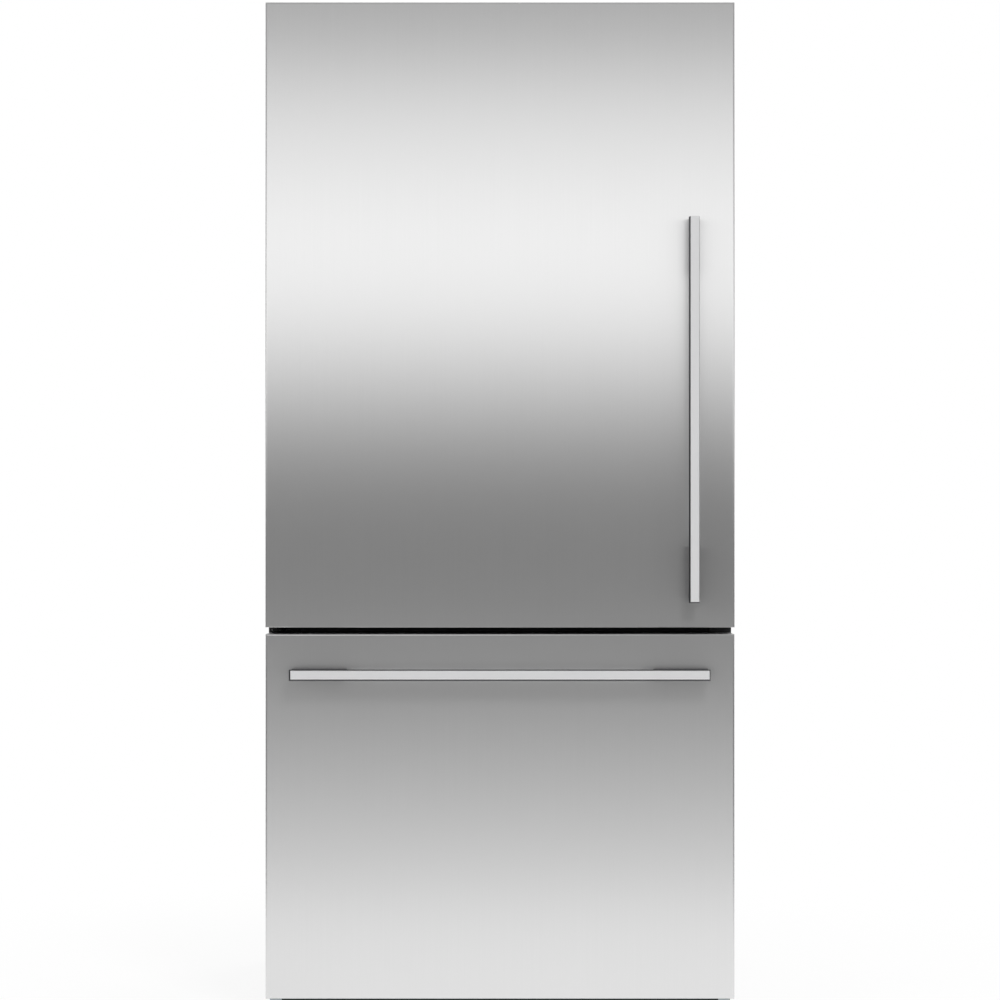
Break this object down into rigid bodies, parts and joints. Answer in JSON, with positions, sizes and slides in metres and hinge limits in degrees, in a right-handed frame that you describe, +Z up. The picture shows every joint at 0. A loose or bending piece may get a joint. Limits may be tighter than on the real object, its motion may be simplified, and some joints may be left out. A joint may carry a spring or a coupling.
{
  "type": "bottom freezer refrigerator",
  "caption": "Free-standing refrigerator in brushed stainless steel, with a hinged door over a pull-out freezer drawer and a square bar handle on each.",
  "frame": {"origin": "on the floor, under the middle of the box round the cabinet, door, drawer and handles", "axes": "+X to the right as seen from the front, +Y to the back, +Z up"},
  "size_m": [0.79, 0.74, 1.715],
  "materials": {
    "stainless_skin": "fine brushed stainless steel sheet",
    "handle_steel": "satin stainless steel bar",
    "cabinet_paint": "light grey painted steel sheet",
    "black_steel": "black painted steel",
    "galvanised_steel": "galvanised steel sheet",
    "white_plastic": "white moulded plastic",
    "grey_plastic": "light grey moulded plastic",
    "black_plastic": "black moulded plastic",
    "clear_plastic": "clear moulded polystyrene",
    "shelf_glass": "clear toughened glass",
    "foam": null,
    "seal": "soft grey seal",
    "black_rubber": "hard black rubber",
    "aluminium": "plain aluminium fins and tube"
  },
  "bodies": {
    "cabinet": {"cabinet_shell": "cabinet_paint", "back_panel": "galvanised_steel", "insulation_foam": "foam", "fridge_liner": "white_plastic", "freezer_liner": "white_plastic", "mullion_rail": "black_steel", "top_hinge_bracket": "galvanised_steel", "top_hinge_cover": "grey_plastic", "centre_hinge_bracket": "black_steel", "base_frame": "galvanised_steel", "toe_grille": "black_plastic", "compressor": "black_steel", "drip_tray": "black_plastic", "condenser": "black_steel", "condenser_fan_motor": "black_plastic", "rear_cover": "galvanised_steel", "evaporator": "aluminium", "evaporator_cover": "white_plastic", "air_duct_cover": "white_plastic", "light_lens": "clear_plastic", "shelf_frame_upper": "white_plastic", "shelf_glass_upper": "shelf_glass", "shelf_frame_middle": "white_plastic", "shelf_glass_middle": "shelf_glass", "crisper_cover_frame": "white_plastic", "crisper_cover_glass": "shelf_glass", "runner_outer_left": "galvanised_steel", "runner_outer_right": "galvanised_steel"},
    "door": {"door_skin": "stainless_skin", "door_foam": "foam", "door_liner": "white_plastic", "door_gasket": "seal", "door_handle_bar": "handle_steel", "door_handle_post_lower": "handle_steel", "door_handle_post_upper": "handle_steel", "bottle_shelf": "clear_plastic", "door_shelf": "clear_plastic", "dairy_shelf": "clear_plastic"},
    "dairy_lid": {"dairy_lid": "clear_plastic"},
    "drawer": {"drawer_skin": "stainless_skin", "drawer_foam": "foam", "drawer_liner": "white_plastic", "drawer_gasket": "seal", "drawer_handle_bar": "handle_steel", "drawer_handle_post_left": "handle_steel", "drawer_handle_post_right": "handle_steel", "runner_inner_left": "galvanised_steel", "runner_inner_right": "galvanised_steel", "freezer_bin": "clear_plastic"},
    "runner_middle_left": {"runner_middle_left": "galvanised_steel"},
    "runner_middle_right": {"runner_middle_right": "galvanised_steel"},
    "freezer_tray": {"freezer_tray": "white_plastic"},
    "crisper_left": {"crisper_left": "clear_plastic"},
    "crisper_right": {"crisper_right": "clear_plastic"},
    "condenser_fan": {"condenser_fan": "black_plastic"},
    "evaporator_fan": {"evaporator_fan": "grey_plastic"},
    "levelling_foot_left": {"levelling_foot_left": "black_rubber"},
    "levelling_foot_right": {"levelling_foot_right": "black_rubber"},
    "rear_roller_left": {"rear_roller_left": "black_rubber"},
    "rear_roller_right": {"rear_roller_right": "black_rubber"}
  },
  "joints": [
    {"name": "door_hinge", "type": "hinge", "parent": "cabinet", "child": "door", "pos_m": [-0.377, -0.289, 0.662], "axis": [0, 0, -1], "range_deg": [0, 115]},
    {"name": "dairy_lid_hinge", "type": "hinge", "parent": "door", "child": "dairy_lid", "pos_m": [0, -0.254, 1.502], "axis": [1, 0, 0], "range_deg": [0, 75]},
    {"name": "drawer_slide", "type": "slide", "parent": "cabinet", "child": "drawer", "axis": [0, -1, 0], "range_m": [0, 0.4]},
    {"name": "runner_middle_left_slide", "type": "slide", "parent": "cabinet", "child": "runner_middle_left", "axis": [0, -1, 0], "range_m": [0, 0.2]},
    {"name": "runner_middle_right_slide", "type": "slide", "parent": "cabinet", "child": "runner_middle_right", "axis": [0, -1, 0], "range_m": [0, 0.2]},
    {"name": "freezer_tray_slide", "type": "slide", "parent": "drawer", "child": "freezer_tray", "axis": [0, 1, 0], "range_m": [0, 0.17]},
    {"name": "crisper_left_slide", "type": "slide", "parent": "cabinet", "child": "crisper_left", "axis": [0, -1, 0], "range_m": [0, 0.08]},
    {"name": "crisper_right_slide", "type": "slide", "parent": "cabinet", "child": "crisper_right", "axis": [0, -1, 0], "range_m": [0, 0.08]},
    {"name": "condenser_fan_spin", "type": "hinge", "parent": "cabinet", "child": "condenser_fan", "pos_m": [-0.0307, 0.278, 0.132], "axis": [1, 0, 0], "continuous": true},
    {"name": "evaporator_fan_spin", "type": "hinge", "parent": "cabinet", "child": "evaporator_fan", "pos_m": [0, 0.2663, 0.5525], "axis": [0, 1, 0], "continuous": true},
    {"name": "levelling_foot_left_screw", "type": "slide", "parent": "cabinet", "child": "levelling_foot_left", "axis": [0, 0, -1], "range_m": [0, 0.015]},
    {"name": "levelling_foot_right_screw", "type": "slide", "parent": "cabinet", "child": "levelling_foot_right", "axis": [0, 0, -1], "range_m": [0, 0.015]},
    {"name": "rear_roller_left_spin", "type": "hinge", "parent": "cabinet", "child": "rear_roller_left", "pos_m": [-0.367, 0.332, 0.017], "axis": [1, 0, 0], "continuous": true},
    {"name": "rear_roller_right_spin", "type": "hinge", "parent": "cabinet", "child": "rear_roller_right", "pos_m": [0.367, 0.332, 0.017], "axis": [1, 0, 0], "continuous": true}
  ],
  "couplings": [
    {"joint": "runner_middle_left_slide", "follows": "drawer_slide", "ratio": 0.5},
    {"joint": "runner_middle_right_slide", "follows": "drawer_slide", "ratio": 0.5}
  ]
}
